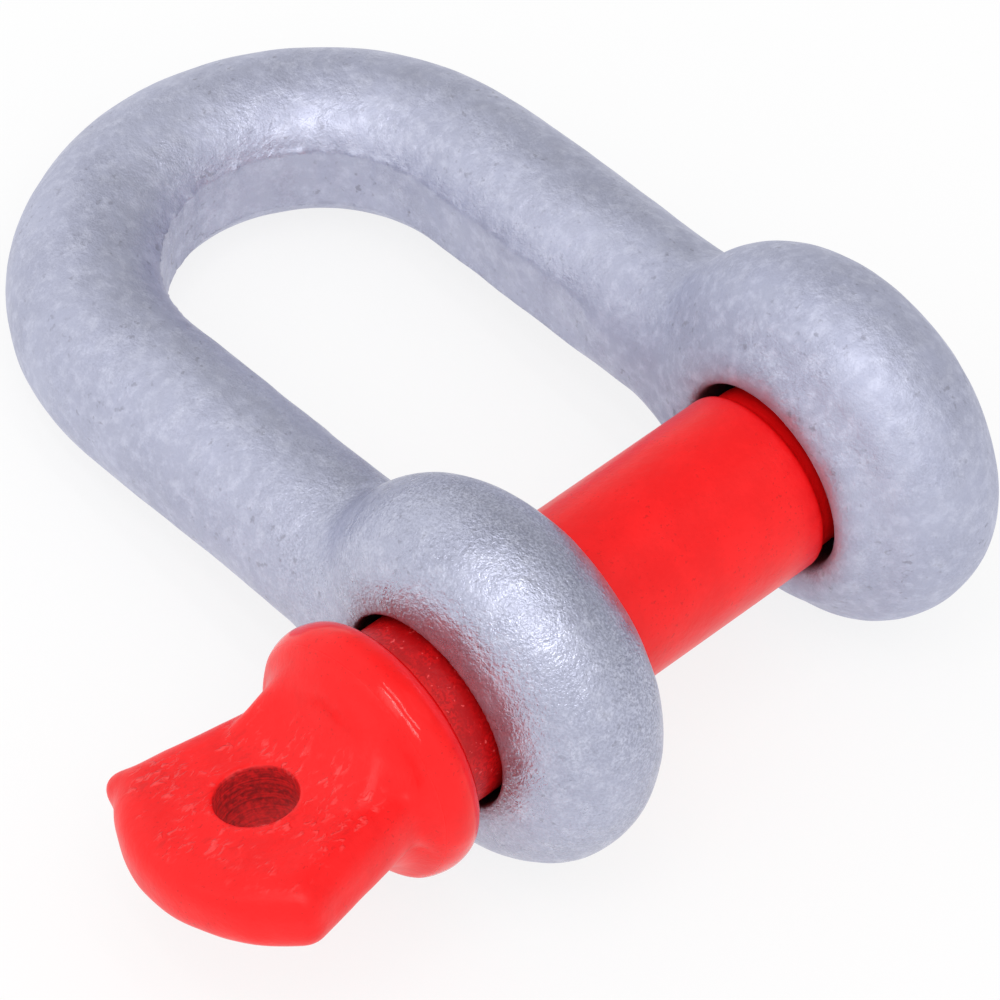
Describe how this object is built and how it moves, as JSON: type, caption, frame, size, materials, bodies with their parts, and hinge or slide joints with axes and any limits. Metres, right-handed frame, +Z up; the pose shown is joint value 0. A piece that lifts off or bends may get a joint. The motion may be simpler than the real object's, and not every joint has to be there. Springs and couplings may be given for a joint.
{
  "type": "screw pin chain shackle",
  "caption": "Forged D-shaped chain shackle with rounded eyes and a red screw pin with a fishtail tab, for joining chain.",
  "frame": {"origin": "on the pin axis, midway between the two eyes", "axes": "+X along the pin from its tab to the threaded eye, +Z up with the shackle lying on its eyes and crown, +Y towards the crown"},
  "size_m": [0.1068, 0.1139, 0.046],
  "materials": {
    "galvanised_steel": "hot-dip galvanised, satin",
    "red_paint": "gloss dipped paint"
  },
  "bodies": {
    "bow": {"bow": "galvanised_steel"},
    "pin": {"screw_pin": "red_paint"}
  },
  "joints": [
    {"name": "pin_withdraw", "type": "slide", "parent": "bow", "child": "pin", "axis": [-1, 0, 0], "range_m": [-0.0035, 0.0725]}
  ]
}
